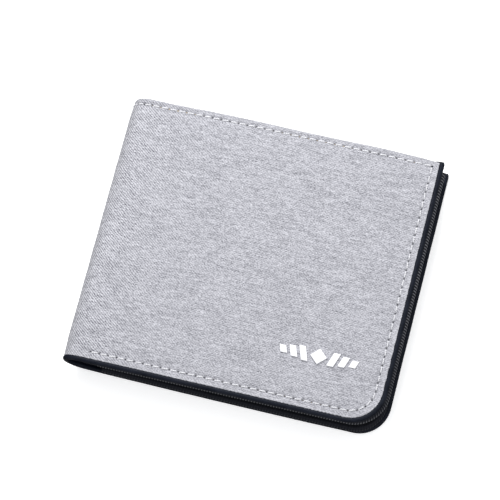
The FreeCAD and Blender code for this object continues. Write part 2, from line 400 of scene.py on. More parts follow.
def pitted(t, v, pits):
    """Depth of small needle holes, and how much painted shade each place gets."""
    dip = np.zeros(len(t))
    for hole_t, hole_v in pits:
        near = np.maximum(np.abs(t - hole_t), np.abs(v - hole_v)) < NEEDLE_HOLE_REACH
        distance = np.hypot(t[near] - hole_t, v[near] - hole_v)
        dip[near] = np.maximum(dip[near], bump_at(distance, NEEDLE_HOLE_R))
    return dip * NEEDLE_HOLE_DEPTH, dip


def tube(rows, sides, first=0):
    """Faces of a tube of rings, then its two end caps. first is its first point's number."""
    faces = []
    for row in range(rows - 1):
        for k in range(sides):
            a = first + row * sides + k
            b = first + row * sides + (k + 1) % sides
            faces.append((a, b, b + sides, a + sides))
    last = first + (rows - 1) * sides
    return faces + [tuple(range(first, first + sides)), tuple(range(last, last + sides))]


def roll(name, side, stops, profile, material, round_end=0.0):
    """A closed profile carried along a path of (t, v, inward t, inward v) stops.

    profile(along) gives the insets and depths of each stop's section, as two arrays.
    """
    path = np.array(stops)
    gaps = np.hypot(np.diff(path[:, 0]), np.diff(path[:, 1]))
    along = np.concatenate([[0], np.cumsum(gaps)])
    insets, depths = profile(along[:, None])
    if round_end:
        tip = 0.02
        left = np.clip((along[-1] - along) / round_end, 0, 1)
        shrink = np.sqrt(np.maximum(1 - (1 - left) ** 2, tip**2))[:, None]
        insets = insets.mean(1)[:, None] * 0.5 * (1 - shrink) + insets * shrink
        depths = depths.mean(1)[:, None] * (1 - shrink) + depths * shrink
    t = path[:, 0:1] + path[:, 2:3] * insets
    v = path[:, 1:2] + path[:, 3:4] * insets
    points = wrap(SIGN[side] * t, v, depths)
    rows, sides = insets.shape
    girth = np.cumsum(np.hypot(np.diff(insets, axis=1), np.diff(depths, axis=1)), axis=1)
    girth = np.concatenate([np.zeros((rows, 1)), girth], 1)
    faces = tube(rows, sides)
    caps = [len(faces) - 2, len(faces) - 1]
    # A roll's lay is the distance along it, the distance around it and the inset.
    run = SIGN[side] * (along[:, None] + path[0, 0])
    lay = np.stack(np.broadcast_arrays(run, girth, insets), -1)
    return make_object(name, points.reshape(-1, 3), faces, material, caps, lay=lay.reshape(-1, 3))


# Materials.


class Shader:
    """The nodes of a material or of the world, built by short calls."""

    def __init__(self, owner):
        owner.use_nodes = True
        self.owner = owner
        self.tree = owner.node_tree

    def set(self, node, key, value):
        socket = node.inputs[key]
        if isinstance(value, bpy.types.NodeSocket):
            self.tree.links.new(value, socket)
        else:
            socket.default_value = value

    def add(self, kind, values, **options):
        """A new node's outputs. values are inputs by number or name, options are settings."""
        node = self.tree.nodes.new("ShaderNode" + kind)
        for key, value in options.items():
            setattr(node, key, value)
        for key, value in values.items():
            self.set(node, key, value)
        return node.outputs

    def math(self, operation, *values):
        return self.add("Math", dict(enumerate(values)), operation=operation)[0]

    def times(self, first, second):
        return self.math("MULTIPLY", first, second)

    def plus(self, total, value, weight):
        """total plus weight times value."""
        return self.math("MULTIPLY_ADD", value, weight, total)

    def stray(self, total, value, weight):
        """total plus weight times how far value lies from one half."""
        return self.plus(total, self.math("SUBTRACT", value, 0.5), weight)

    def stored(self, name):
        """An attribute of the mesh, as outputs: colour, vector and number."""
        return self.add("Attribute", {}, attribute_name=name)

    def lay(self):
        """The flat coordinates (s, v, inset) of a sheet, or their like in a roll or stitch."""
        return self.stored("lay")[1]

    def split(self, vector):
        return self.add("SeparateXYZ", {0: vector})

    def scaled(self, vector, scale, turn=0.0):
        """Coordinates turned about the third axis, then scaled."""
        values = {"Vector": vector, "Rotation": (0, 0, turn), "Scale": scale}
        return self.add("Mapping", values, vector_type="POINT")[0]

    def noise(self, vector, scale, detail=2.0, rough=0.5):
        values = {"Vector": vector, "Scale": scale, "Detail": detail, "Roughness": rough}
        return self.add("TexNoise", values)[0]

    def chance(self, column, row):
        """A random number for each cell of a grid."""
        cell = self.add("CombineXYZ", {"X": column, "Y": row})[0]
        return self.add("TexWhiteNoise", {"Vector": cell}, noise_dimensions="2D")[0]

    def between(self, value, low_in, high_in, low_out=0.0, high_out=1.0):
        numbers = (value, low_in, high_in, low_out, high_out)
        return self.add("MapRange", dict(enumerate(numbers)))[0]

    def mix(self, factor, first, second):
        """Mixes two colours, each a socket or three numbers."""
        pair = [c if isinstance(c, bpy.types.NodeSocket) else (*c, 1) for c in (first, second)]
        return self.add("Mix", {0: factor, 6: pair[0], 7: pair[1]}, data_type="RGBA")[2]

    def bump(self, height, strength, distance):
        values = {"Height": height, "Strength": strength, "Distance": distance * MM}
        return self.add("Bump", values)[0]

    def finish(self, colour, rough, normal=None, **inputs):
        """The finished material, given its surface's inputs."""
        surface = self.tree.nodes["Principled BSDF"]
        self.set(surface, "Base Color", colour)
        self.set(surface, "Roughness", rough)
        if normal:
            self.set(surface, "Normal", normal)
        for key, value in inputs.items():
            self.set(surface, key.replace("_", " "), value)
        return self.owner


def new_material(name):
    return Shader(bpy.data.materials.new(name))


def wave(shader, value, period):
    """A cosine from 0 to 1 along a coordinate."""
    turned = shader.times(value, 2 * math.pi / period)
    return shader.plus(0.5, shader.math("COSINE", turned), 0.5)


def canvas_material():
    """Grey heather twill: crossing diagonal ribs, slubby yarns of mixed light and dark fibres."""
    m = new_material("canvas")
    lay = m.lay()
    s, v, inset = m.split(lay)
    flat = m.scaled(lay, (1, 1, 0))
    across = m.stray(m.times(s, TWILL_LEAN[0]), m.noise(flat, 0.5, 3, 0.7), 1.1)
    up = m.times(v, TWILL_LEAN[1])
    twill = wave(m, m.math("ADD", across, up), TWILL_PITCH)
    counter = wave(m, m.math("SUBTRACT", across, up), TWILL_PITCH)
    # The twill's share of the ribs falls away from the spine and varies in patches.
    share = m.stray(m.between(s, 5, 60, 1.1, 0.4), m.noise(flat, 0.25, 2), 1.6)
    rib = m.stray(m.stray(0.0, counter, m.math("SUBTRACT", 1.0, share)), twill, share)
    row = m.math("FLOOR", m.math("DIVIDE", v, YARN))
    # From row to row the cells shift by part of their length.
    floats = m.math("FLOOR", m.plus(m.math("DIVIDE", s, FLOAT), row, 0.37))
    slub = m.math("FLOOR", m.plus(m.math("DIVIDE", s, SLUB), row, 0.71))
    yarn = m.chance(floats, row)
    streak = m.chance(slub, row)
    fibres = m.noise(m.scaled(lay, (4.0, 5.0, 0)), 1.0, 2, 0.7)
    weft = m.noise(m.scaled(lay, (0.15, 2.1, 0)), 1.0, 3, 0.8)
    cloud = m.noise(flat, 0.1, 3, 0.6)
    tone = m.times(rib, m.between(s, 5, 40, 1.7, 0.8))
    for value, weight in ((yarn, 1.2), (streak, 0.65), (fibres, 1.9), (weft, 1.65), (cloud, 0.35)):
        tone = m.stray(tone, value, weight)
    tone = m.between(tone, -1.7, 1.7)
    colour = m.mix(tone, (0.075, 0.076, 0.093), (0.66, 0.66, 0.705))
    worn = m.between(inset, 0.0, 1.2, 0.3, 0.0)
    colour = m.mix(worn, colour, (0.62, 0.62, 0.66))
    # Painted shade in the needle holes.
    pit = m.between(m.stored("pit")[2], 0.35, 0.85)
    colour = m.mix(pit, colour, (0.03, 0.03, 0.035))
    height = m.plus(m.plus(rib, weft, 0.5), fibres, 0.6)
    normal = m.bump(height, 0.6, 0.12)
    rough = m.between(fibres, 0.3, 0.7, 0.78, 0.95)
    return m.finish(
        colour, rough, normal, Specular_IOR_Level=0.25, Sheen_Weight=0.25, Sheen_Roughness=0.5)


def leather_material(name, dark, light, grain, rough, gloss):
    """Coated leather: pebbled grain, slight mottling, edges smoother and paler: worn, and a painted
    highlight.
    """
    m = new_material(name)
    lay = m.lay()
    inset = m.split(lay)[2]
    flat = m.scaled(lay, (1, 1, 0))
    warp = m.add("TexNoise", {"Vector": flat, "Scale": 1.6 / grain, "Detail": 2.0})[1]
    shift = {0: warp, 1: (grain / 2,) * 3, 2: flat}
    place = m.add("VectorMath", shift, operation="MULTIPLY_ADD")[0]
    cells = {"Vector": place, "Scale": 1 / grain}
    pebble = m.add("TexVoronoi", cells, feature="DISTANCE_TO_EDGE")[0]
    crack = m.between(m.math("POWER", pebble, 0.5), 0.05, 0.5)
    mottle = m.noise(flat, 0.18, 4, 0.6)
    fine = m.noise(flat, 6.0, 3, 0.6)
    colour = m.mix(m.between(mottle, 0.3, 0.7), dark, light)
    colour = m.mix(m.between(crack, 0, 1, 0.35, 0.0), colour, (0.002, 0.002, 0.003))
    # Paler edges: partly wear, partly a painted highlight.
    wear_and_highlight = m.times(m.between(inset, 0.05, 0.5, 1.0, 0.0), m.between(mottle, 0.3, 0.7))
    colour = m.mix(m.times(wear_and_highlight, 0.5), colour, (0.05, 0.052, 0.062))
    height = m.plus(crack, fine, 0.35)
    shine = m.stray(rough, mottle, 0.25)
    shine = m.plus(shine, m.math("SUBTRACT", 1.0, crack), 0.15)
    shine = m.plus(shine, wear_and_highlight, -0.12)
    normal = m.bump(height, 0.4, 0.08)
    return m.finish(colour, shine, normal, Specular_IOR_Level=gloss)


def lining_material():
    """Ripstop nylon: a plain weave crossed by a grid of heavier threads."""
    m = new_material("lining")
    lay = m.lay()
    s, v, _ = m.split(lay)
    over = m.times(wave(m, s, RIPSTOP_THREAD), wave(m, v, RIPSTOP_THREAD))
    lines = [m.math("POWER", wave(m, along, RIPSTOP_GRID), 24) for along in (s, v)]
    heavy = m.math("MAXIMUM", *lines)
    streak = m.noise(m.scaled(lay, (0.3, 3.0, 0)), 1.0, 3)
    cloud = m.noise(m.scaled(lay, (0.06, 0.06, 0)), 1.0, 3)
    tone = m.plus(m.times(over, 0.3), streak, 0.5)
    tone = m.stray(m.plus(tone, heavy, 0.45), cloud, 0.5)
    colour = m.mix(tone, (0.006, 0.007, 0.011), (0.05, 0.053, 0.07))
    normal = m.bump(m.math("ADD", over, heavy), 0.5, 0.08)
    rough = m.between(streak, 0.3, 0.7, 0.5, 0.7)
    return m.finish(colour, rough, normal, Sheen_Weight=0.12, Specular_IOR_Level=0.25)


def tape_material():
    """Ribbed tape: rib tops painted pale as a highlight on the crest and beside the opening."""
    m = new_material("ribbed_tape")
    lay = m.lay()
    along, girth, inset = m.split(lay)
    rib = wave(m, m.plus(along, girth, 0.25), RIB_PITCH)
    fuzz = m.noise(m.scaled(lay, (5, 2, 1)), 1.0, 3)
    tone = m.stray(rib, fuzz, 0.6)
    # Painted highlight: strongest on the crest, and growing along the run beside the opening.
    crest = m.between(inset, 0.1, 0.45, 1.0, 0.12)
    painted_light_mask = m.math("MAXIMUM", crest, m.between(along, 118, 160, 0.12, 1.0))
    # Painted shade: the rear half's tape is kept darker.
    painted_light_mask = m.times(painted_light_mask, m.between(along, -1, 1, 0.2, 1.0))
    pale = m.times(m.between(tone, 0.4, 1.1), painted_light_mask)
    colour = m.mix(pale, (0.009, 0.01, 0.015), (0.24, 0.243, 0.265))
    normal = m.bump(m.plus(rib, fuzz, 0.4), 0.5, 0.1)
    rough = m.between(fuzz, 0.3, 0.7, 0.55, 0.8)
    return m.finish(colour, rough, normal, Sheen_Weight=0.04, Specular_IOR_Level=0.14)


def thread_material(name, dark, light):
    """Twisted thread: fibres along the ply, a little soiling in the twist."""
    m = new_material(name)
    lay = m.lay()
    fibre = m.noise(m.scaled(lay, (1.5, 9.0, 9.0)), 1.0, 3)
    soil = m.noise(lay, 0.12, 2)
    colour = m.mix(m.between(fibre, 0.25, 0.7), dark, light)
    colour = m.mix(m.between(soil, 0.5, 0.8, 0.0, 0.25), colour, dark)
    rough = m.between(fibre, 0.3, 0.7, 0.5, 0.75)
    return m.finish(colour, rough, m.bump(fibre, 0.5, 0.05), Sheen_Weight=0.2)


def board_material():
    """Grey board: pressed fibres."""
    m = new_material("board")
    place = m.add("TexCoord", {})[3]
    specks = m.noise(m.scaled(place, (900, 2500, 900)), 1.0, 4)
    cloud = m.noise(place, 60, 3)
    tone = m.plus(m.times(cloud, 0.4), specks, 0.6)
    colour = m.mix(m.between(tone, 0.3, 0.7), (0.2, 0.17, 0.13), (0.42, 0.36, 0.28))
    rough = m.between(specks, 0.3, 0.7, 0.8, 0.95)
    return m.finish(colour, rough, m.bump(specks, 0.4, 0.05))


def film_material():
    """Clear vinyl, slightly wavy, with a faint haze and fine scuffs."""
    m = new_material("clear_film")
    lay = m.lay()
    haze = m.noise(m.scaled(lay, (0.05, 0.05, 0)), 1.0, 2)
    scuff = m.noise(m.scaled(lay, (0.4, 7.0, 0), 0.6), 1.0, 3)
    colour = m.mix(haze, (0.7, 0.74, 0.78), (0.9, 0.93, 0.95))
    normal = m.bump(haze, 0.35, 1.0)
    rough = m.between(scuff, 0.45, 0.75, 0.3, 0.44)
    cloudy = m.between(m.plus(haze, scuff, 0.3), 0.4, 0.9, 0.04, 0.08)
    return m.finish(colour, rough, normal, Alpha=cloudy, Specular_IOR_Level=0.4)


def badge_material():
    """Raised white rubber print, with a slightly uneven skin."""
    m = new_material("badge")
    place = m.add("TexCoord", {})[3]
    skin = m.noise(place, 1800, 3)
    cloud = m.noise(place, 150, 2)
    colour = m.mix(m.between(cloud, 0.3, 0.7), (0.8, 0.8, 0.82), (0.88, 0.88, 0.9))
    rough = m.between(skin, 0.3, 0.7, 0.35, 0.5)
    return m.finish(colour, rough, m.bump(skin, 0.2, 0.04))


CANVAS = canvas_material()
LIP_LEATHER = leather_material(
    "edge_leather", (0.004, 0.006, 0.012), (0.012, 0.015, 0.025), 0.8, 0.42, 0.1)
POCKET_LEATHER = leather_material(
    "pocket_leather", (0.007, 0.008, 0.012), (0.017, 0.018, 0.025), 0.9, 0.5, 0.22)
LINING = lining_material()
TAPE = tape_material()
PALE_THREAD = thread_material("thread", (0.5, 0.5, 0.52), (0.92, 0.92, 0.95))
DARK_THREAD = thread_material("dark_thread", (0.06, 0.063, 0.075), (0.24, 0.245, 0.27))
BOARD = board_material()
FILM = film_material()
BADGE = badge_material()


# Joining pieces to the bodies.

# Part of the flat layout to the bodies on either side of the fold it crosses, and its span of t, from
# the rear to the front.
SPANS = {
    ("rear", "wing"): ("rear_wing", "spine_strip_1", HALF_SPINE, CUT),
    ("rear", "spine"): ("spine_strip_1", "spine_strip_2", CUT, 0.0),
    ("front", "spine"): ("spine_strip_2", "spine_strip_3", 0.0, CUT),
    ("front", "wing"): ("spine_strip_3", "front_wing", CUT, HALF_SPINE),
}


def bend(piece, side, part, depth, wing_node, spine_node):
    """Bakes a piece's placement into its mesh, and hides the CAD nodes that it stands for."""
    first, second, start_t, end_t = SPANS[side, part]
    start, end = (wrap(SIGN[side] * t, 0.0, depth) * MM for t in (start_t, end_t))
    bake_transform(piece)
    if part == "wing":
        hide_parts(side + "_" + wing_node)
    elif side == "rear":
        # The spine's middle strip goes with the rear half.
        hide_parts(spine_node + "_1", spine_node + "_2")
    else:
        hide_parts(spine_node + "_3")


def carry(piece, side):
    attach(piece, side + "_wing")


# Canvas cover.

EDGE_PULL = 0.28  # how far the canvas is pulled in at its edges
TOP_PULL = 0.24  # and at the fold
PULL_REACH = 8  # how far in from there it lies lower
SEAM_GROOVE = 0.17
SWELL = 0.16  # of the front cover, between its seams


def canvas_outline(side):
    corner_r = CORNER_R[side] - LIP_WIDTH
    return Outline(HALF_SPINE, CANVAS_T[side], CANVAS_BOTTOM, corner_r, FOLD_END + HEM)


def seam_distance(side, t, v):
    """Distance to the seam's line, which turns square at the top."""
    inset = canvas_outline(side).inset(t, v, top_too=False)
    begun = t > CUT + SEAM_START - SEAM_RUN_IN
    around = np.where((v < SEAM_V) & begun, np.abs(inset - SEAM_INSET), FAR)
    along_top = np.where(t < CANVAS_T[side] - SEAM_INSET, np.abs(v - SEAM_V), FAR)
    return np.minimum(around, along_top)


def canvas_height(side, t, v):
    """Outer face of the canvas: pulled in at the seam and the edges, slightly uneven between."""
    s = SIGN[side] * t
    inset = canvas_outline(side).inset(t, v, top_too=False)
    over_fold = ease((v - FOLD_START) / (FOLD_END - FOLD_START))
    to_top = np.where(v < TOP, TOP - v, 0)
    height = -EDGE_PULL * (1 - ease(inset / PULL_REACH))
    height = height - SEAM_GROOVE * bump_at(seam_distance(side, t, v), 0.6)
    height = height - TOP_PULL * (1 - ease(to_top / PULL_REACH)) * (1 - over_fold)
    height = height + 0.05 * ripple(s, v, 9.0, 3) * ease(inset / 3)
    swell = SWELL * ripple(s, v, 34.0, 5) * ease((t - CUT) / 15)
    if side == "rear":
        return np.minimum(height + swell / 2, 0) - 0.12 * bump_at(seam_distance(side, t, v), 1.2)
    return height + swell


def seam_stops(side):
    """Ends of the stitches, from the bottom's start round to the middle of the spine."""
    outline = canvas_outline(side)
    first = outline.path(SEAM_INSET, 0.05, CUT + SEAM_START, SEAM_V)
    corner = (first[-1][0], SEAM_V)
    stops = evenly([stop[:2] for stop in first], STITCH_PITCH)
    return stops, evenly([corner, (0.0, SEAM_V)], STITCH_PITCH)


def evenly(path, pitch):
    """Places at an even pitch along a path of places, both ends included."""
    path = np.array(path)
    along = np.concatenate([[0], np.cumsum(np.hypot(*np.diff(path, axis=0).T))])
    count = round(along[-1] / pitch)
    marks = np.linspace(0, along[-1], count + 1)
    return np.stack([np.interp(marks, along, path[:, k]) for k in (0, 1)], -1)


def stitches(name, side, lines, place, height, material, keep=None):
    """Two-ply stitches between successive needle holes of each line."""
    draw = random.Random(name)
    stations, facets = 11, 6
    x = np.linspace(-0.5, 0.5, stations)
    points, lay, faces = [], [], []
    for line in lines:
        for start, end in zip(line, line[1:]):
            centre = (start + end) / 2
            if keep and not keep(centre):
                continue
            away = (end - start) / np.linalg.norm(end - start)
            lean = draw.uniform(-0.05, 0.05) + STITCH_LEAN
            away = np.array([away[0] - away[1] * lean, away[1] + away[0] * lean])
            length = STITCH_LENGTH * draw.uniform(0.94, 1.05)
            for ply in range(2):
                twist = 2 * math.pi * x * length / PLY_TWIST + ply * math.pi + draw.uniform(-0.2, 0.2)
                lift = 0.16 * (1 - (2 * x) ** 6) - 0.5 * np.abs(2 * x) ** 9
                thin = THREAD_R * (1 - 0.45 * np.abs(2 * x) ** 6)
                ring = np.linspace(0, 2 * math.pi, facets, endpoint=False)
                along = np.broadcast_to((x * length)[:, None], (stations, facets))
                side_way = (0.13 * np.cos(twist))[:, None] + thin[:, None] * np.cos(ring)
                up = (lift + 0.1 * np.sin(twist))[:, None] + thin[:, None] * np.sin(ring)
                t = centre[0] + away[0] * along - away[1] * side_way
                v = centre[1] + away[1] * along + away[0] * side_way
                h = height(t, v) + up
                first = len(points) * stations * facets
                points.append(place(SIGN[side] * t, v, h).reshape(-1, 3))
                lay.append(np.stack([centre[0] + along, side_way, up], -1).reshape(-1, 3))
                faces += tube(stations, facets, first)
    return make_object(name, np.concatenate(points), faces, material, lay=np.concatenate(lay))


def frayed(side, outline):
    """The canvas's cut edge is not quite straight: nudges the outermost places along it."""

    def place(s, v, h):
        t = np.abs(s)
        inset = outline.inset(t, v, top_too=False)
        amount = np.where(inset < 0.35, 0.13 * ripple(s, v, 0.9, 11), 0)
        side_edge = outline.side_t - t < v - outline.bottom
        t = np.where(side_edge, t + amount, t)
        v = np.where(side_edge, v, v + amount)
        return canvas_point(SIGN[side] * t, v, h)

    return place


FINE_RINGS = [0, 0.03, 0.1, 0.22, 0.4, 0.8, 1.3, 1.75, 2.05, 2.28, 2.5, 2.72, 2.95, 3.3, 3.9, 4.8, 6.0]
COARSE_RINGS = [0, 0.04, 0.12, 0.3, 0.8, 1.6, 3.0]


def canvas_rows():
    """Rows of the canvas's top strip: past the seam, over the fold and along the hem."""
    rows = [SEAM_V + past for past in (-3.5, -2, -1.2, -0.75, -0.45, -0.22, 0, 0.22, 0.45, 0.75)]
    rows += [FOLD_START + math.pi * FOLD_R * k / 10 for k in range(11)]
    rows += [FOLD_END + past for past in (1.5, 3.5)]
    return rows + [FOLD_END + HEM - left for left in (0.9, 0.35, 0.1, 0)]


def build_canvas(side):
    outline = canvas_outline(side)
    rows = canvas_rows()
    fine, coarse = 0.42, 1.5
    wing = wing_net(outline, FINE_RINGS, fine, coarse, rows, steps(CUT, HALF_SPINE, fine))
    low_vs = [outline.bottom + inset for inset in FINE_RINGS]
    spine = Net()
    spine.grid(steps(0, CUT, fine), low_vs + steps(low_vs[-1], rows[0], coarse)[1:-1] + rows)
    around, along_top = seam_stops(side)
    pits = np.concatenate([around, along_top])
    for part, net in (("wing", wing), ("spine", spine)):
        piece = sheet(
            f"{side}_canvas_{part}", net, side, frayed(side, outline),
            lambda t, v: canvas_height(side, t, v),
            lambda t, v: canvas_height(side, t, v) - CANVAS_THICK,
            outline.inset, CANVAS, pits)
        bend(piece, side, part, 0.0, "cover_canvas", "spine_canvas")
        thread = stitches(
            f"{side}_seam_{part}", side, (around, along_top), canvas_point,
            lambda t, v: canvas_height(side, t, v), PALE_THREAD,
            lambda centre: (centre[0] >= CUT) == (part == "wing"))
        bend(thread, side, part, 0.0, "cover_thread", "spine_thread")


# Leather lip and ribbed rim.

LIP_HALF_WIDTH = 0.95
LIP_HALF_THICK = 0.98
LIP_MIDDLE = 1.08  # depth of the roll's middle
LIP_END = 1.5  # where the lip begins to round off, below the top edge
# (inset, depth) round the strip that is tucked under the canvas.
LIP_STRIP = [(1.55, 1.75), (3.0, 1.6), (4.4, 1.55), (4.5, 1.2), (4.4, 0.85), (3.0, 0.8), (1.9, 0.62)]
RIB_HEIGHT = 0.12


def closed_by(insets, depths, places):
    """Sections that each end with the same (inset, depth) places."""
    more = np.tile(np.array(places), (len(insets), 1, 1))
    return np.concatenate([insets, more[..., 0]], 1), np.concatenate([depths, more[..., 1]], 1)


def lip_profile(along):
    """A plump roll beyond the canvas, with a flat strip tucked under it."""
    angles = np.radians(np.linspace(60, 300, 17))
    swell = 1 + 0.04 * ripple(along, 0.0, 14.0, 21)
    insets = LIP_HALF_WIDTH * (1 + np.cos(angles) * swell)
    depths = LIP_MIDDLE - LIP_HALF_THICK * np.sin(angles) * swell
    return closed_by(insets, depths, LIP_STRIP)


def build_lip(side):
    outline = Outline(HALF_SPINE, LIP_T[side], BOTTOM, CORNER_R[side], TOP)
    pace = 0.6
    wing = outline.path(0.0, pace, CUT, TOP - LIP_END)
    wing += [(outline.side_t, v, -1.0, 0.0) for v in steps(TOP - LIP_END, TOP - 0.03, 0.12)[1:]]
    spine = [(t, BOTTOM, 0.0, 1.0) for t in steps(0, CUT, pace)]
    for part, stops, round_end in (("wing", wing, 1.3), ("spine", spine, 0.0)):
        piece = roll(f"{side}_lip_{part}", side, stops, lip_profile, LIP_LEATHER, round_end)
        bend(piece, side, part, 1.0, "edge_binding", "spine_binding")


def rim_profile(along):
    """Ribbed tape folded round the inner panel's edge."""
    shallow, deep = low("rear_inner_binding", "z"), high("rear_inner_binding", "z")
    middle, half = (shallow + deep) / 2, (deep - shallow) / 2
    half_width = (PANEL_INSET - 0.02) * 0.55
    angles = np.radians(np.linspace(70, 290, 13))
    rib = RIB_HEIGHT * (0.5 + 0.5 * np.cos(2 * math.pi * along / RIB_PITCH))
    insets = half_width + (half_width + rib - RIB_HEIGHT) * np.cos(angles)
    depths = middle - (half - 0.1 + rib) * np.sin(angles)
    inner = PANEL_INSET + 0.58
    return closed_by(insets, depths, [(inner, middle + 0.8), (inner, middle - 0.8)])


def build_rim(side):
    outline = Outline(HALF_SPINE, RIM_T[side], BOTTOM, CORNER_R[side], PANEL_TOP)
    stops = outline.path(0.0, RIB_PITCH / 5, PANEL_T0, PANEL_TOP)
    piece = roll(f"{side}_ribbed_rim", side, stops, rim_profile, TAPE, 1.2)
    carry(piece, side)
    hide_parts(side + "_inner_binding")


# Linings.


def build_layer(side, wing_node, spine_node, outline, depths):
    """A thin cloth layer that runs on over the spine."""

    def unevenness(t, v):
        return 0.05 * ripple(SIGN[side] * t, v, 26.0, int(depths[0] * 10))

    top_rows = [outline.top - drop for drop in (5, 2, 0.7, 0.15, 0)]
    curve_pace, coarse = 0.8, 4.0
    curve = steps(CUT, HALF_SPINE, curve_pace)
    wing = wing_net(outline, COARSE_RINGS, 1.4, coarse, top_rows, curve)
    low_vs = [outline.bottom + inset for inset in COARSE_RINGS]
    middle_vs = steps(low_vs[-1], top_rows[0], coarse)[1:-1]
    spine = Net()
    spine.grid(steps(0, CUT, curve_pace), low_vs + middle_vs + top_rows)
    for part, net in (("wing", wing), ("spine", spine)):
        piece = sheet(
            f"{side}_{spine_node[6:]}_{part}", net, side, plain_point,
            lambda t, v: unevenness(t, v) - depths[0],
            lambda t, v: unevenness(t, v) - depths[1],
            outline.inset, LINING)
        bend(piece, side, part, sum(depths) / 2, wing_node, spine_node)


def build_linings(side):
    inset = low("rear_cover_lining", "y") - BOTTOM
    top = high("rear_cover_lining", "y") - 1.2
    cover = Outline(HALF_SPINE, LIP_T[side] - inset, BOTTOM + inset, CORNER_R[side] - inset, top)
    build_layer(side, "cover_lining", "spine_lining", cover, (1.38, 1.58))
    panel = panel_outline(side, PANEL_TOP, HALF_SPINE)
    build_layer(side, "partition", "spine_partition", panel, (2.85, 3.1))


# Pockets.

PRESS_WIDTH = 9.0  # from a sewn edge to where a pocket is full
PRESSED_STEP = 0.42  # each pocket's thickness where it is sewn
BASE_DEPTH = high("rear_panel_base", "z")
PANEL_SEAM = 1.7  # from the panel's edge
MOUTH_CREASE = 1.9  # from the mouth
MOUTH_TURN = 8.2  # width of the strip turned in at the mouth
POCKET_RINGS = [0, 0.06, 0.2, 0.6, 1.2, 1.7, 2.2, 3.0]
WINDOW_SIZE = (82.0, 46.0)
WINDOW_R = 4.0
WINDOW_RISE = 8.0  # above the panel's lower edge
WINDOW_CENTRE = (
    (PANEL_T0 + RIM_T["rear"] - PANEL_INSET) / 2,
    BOTTOM + PANEL_INSET + WINDOW_RISE + WINDOW_SIZE[1] / 2,
)


def panel_outline(side, top, start=PANEL_T0 + POCKET_RINGS[-1]):
    side_t, bottom = RIM_T[side] - PANEL_INSET, BOTTOM + PANEL_INSET
    return Outline(start, side_t, bottom, CORNER_R[side] - PANEL_INSET, top)


def pocket_inset(outline, t, v):
    """Distance to the nearest sewn edge: bottom, opening side or spine side."""
    return np.minimum(outline.inset(t, v, top_too=False), t - PANEL_T0)


def pocket_depth(side, level, depth, top):
    """Depth of a pocket's visible face: pressed flat where it is sewn, swelling in the middle."""
    outline = panel_outline(side, top)
    pressed = BASE_DEPTH + PRESSED_STEP * level

    def visible(t, v):
        inset = pocket_inset(outline, t, v)
        swell = ease((inset - 1.5) / PRESS_WIDTH)
        across = (t - PANEL_T0) / (outline.side_t - PANEL_T0)
        below = top - v
        mouth = 0.28 * np.sin(np.pi * np.clip(across, 0, 1)) * bump_at(below, 9.0)
        crease = -0.11 * bump_at(below - MOUTH_CREASE, 0.3)
        turned = 0.1 * (1 - ease((below - MOUTH_TURN) / 0.8))
        seam = -0.1 * bump_at(inset - PANEL_SEAM, 0.5)
        wrinkle = 0.06 * ripple(SIGN[side] * t, v, 18.0, 40 + level) * swell
        return pressed + (depth - pressed) * swell + mouth + crease + turned + seam + wrinkle

    return visible


def pocket_net(side, top, holes=()):
    rows = [top - drop for drop in (MOUTH_TURN + 1, MOUTH_TURN + 0.4, MOUTH_TURN, 7, 4)]
    rows += [top - MOUTH_CREASE + rise for rise in (-0.8, -0.4, -0.2, 0, 0.2, 0.4, 0.8)]
    rows += [top - drop for drop in (0.6, 0.25, 0.08, 0)]
    columns = [PANEL_T0 + inset for inset in POCKET_RINGS]
    return wing_net(panel_outline(side, top), POCKET_RINGS, 1.2, 3.0, rows, columns, holes)


def pocket(name, side, level, depth, top, nodes, thick=0.3, look=(POCKET_LEATHER, "pocket_leather")):
    """A pocket sheet. depth is that of its visible face where the pocket is full."""
    material, slot = look
    outline = panel_outline(side, top)
    visible = pocket_depth(side, level, depth, top)

    def edge(t, v):
        return np.minimum(pocket_inset(outline, t, v), top - v)

    piece = sheet(
        name, pocket_net(side, top), side, plain_point,
        lambda t, v: thick - visible(t, v), lambda t, v: -visible(t, v), edge, material)
    carry(piece, side)
    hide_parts(*nodes)
    return visible


def panel_seam(side, surfaces):
    """Stitches round the inner panel. surfaces are (top, visible depth), from the lowest mouth up."""
    outline = panel_outline(side, PANEL_TOP)
    start_t, top = PANEL_T0 + PANEL_SEAM, PANEL_TOP - MOUTH_CREASE
    around = [stop[:2] for stop in outline.path(PANEL_SEAM, 0.05, start_t, top)]
    last = (start_t, top)
    runs = (around, [around[-1], last], [last, around[0]])
    lines = [evenly(run, STITCH_PITCH) for run in runs]

    def height(t, v):
        """Height of the pockets' visible faces, seen from inside."""
        depth = surfaces[-1][1](t, v)
        for top, visible in reversed(surfaces[:-1]):
            depth = np.where(v < top, visible(t, v), depth)
        return depth

    piece = stitches(side + "_panel_seam", side, lines, wrap, height, DARK_THREAD)
    carry(piece, side)


def node_depth(side, node):
    """Depth of a flat node's inner face."""
    return THICK - low(node, "z") if side == "front" else high(node, "z")


def build_front_panel():
    base = pocket("front_panel_sheet", "front", 0, BASE_DEPTH, PANEL_TOP, ["front_panel_base"], 0.4)
    surfaces = [(PANEL_TOP, base)]
    for level, where in enumerate(("top", "middle", "bottom"), 1):
        node = "front_card_pocket_" + where
        nodes = [node, "front_pocket_welts"] if where == "bottom" else [node]
        mouth = high(node, "y")
        depth = node_depth("front", node)
        visible = pocket(f"front_pocket_sheet_{where}", "front", level, depth, mouth, nodes)
        surfaces.insert(0, (mouth, visible))
    panel_seam("front", surfaces)


